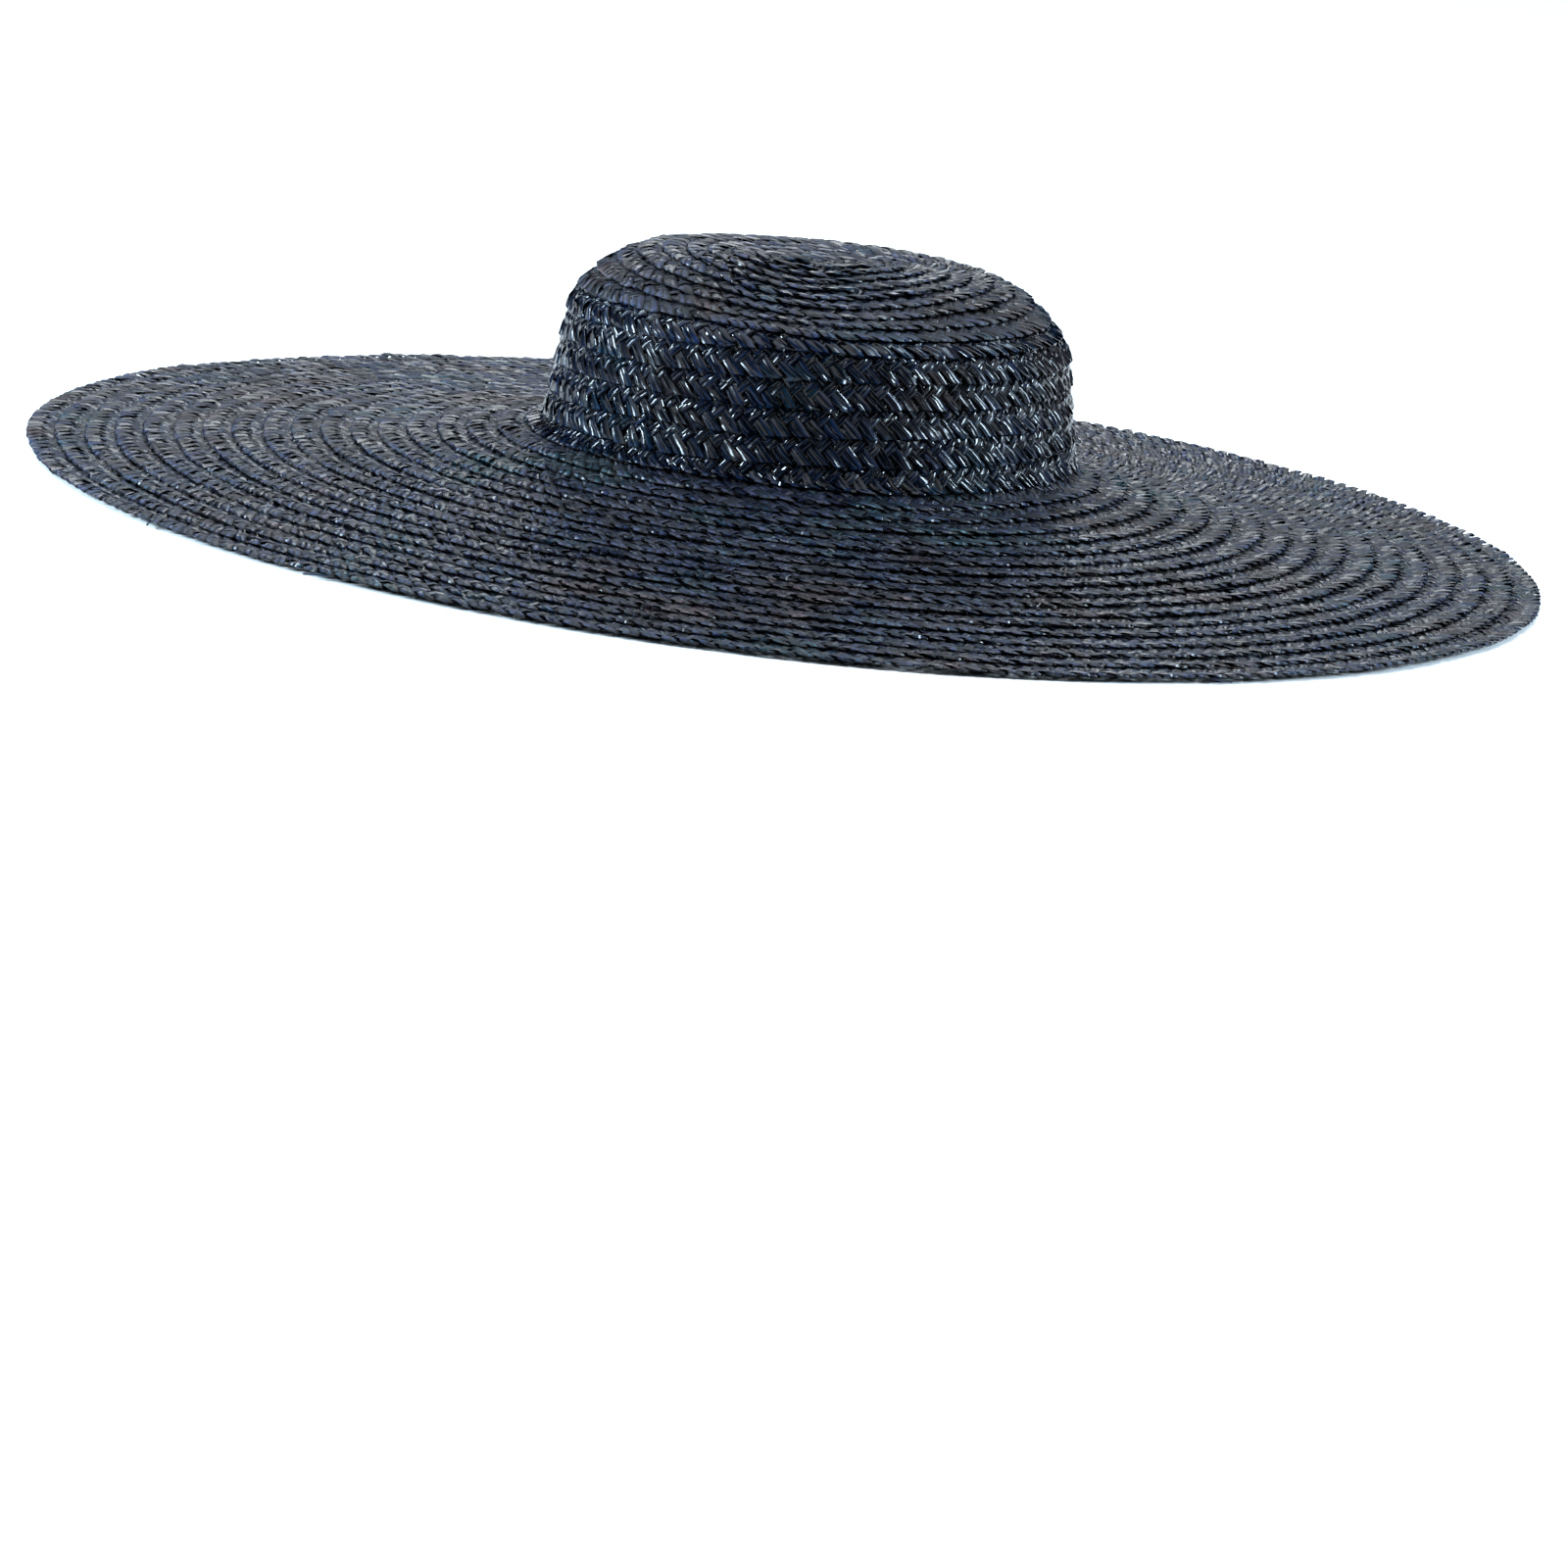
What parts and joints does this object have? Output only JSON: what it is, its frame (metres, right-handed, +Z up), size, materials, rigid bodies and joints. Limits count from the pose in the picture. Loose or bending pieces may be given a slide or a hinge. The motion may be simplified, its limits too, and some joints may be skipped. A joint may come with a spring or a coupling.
{
  "type": "wide-brim straw hat",
  "caption": "Low round crown with a gently domed top and a very wide, slightly drooping brim, sewn from lapped rows of dark straw plait.",
  "frame": {"origin": "middle of the brim's length and width, on the surface that the brim rests on", "axes": "+Z up, -Y towards the front of the hat, where the brim is widest, +X to the wearer's left"},
  "size_m": [0.5212, 0.5492, 0.0901],
  "materials": {
    "straw_tip": "dyed wheat straw plait, satin",
    "straw_side": "dyed wheat straw plait, glossy",
    "straw_brim": "dyed wheat straw plait, satin"
  },
  "bodies": {
    "root": {"crown_tip": "straw_tip", "crown_side": "straw_side", "brim": "straw_brim"}
  },
  "joints": []
}
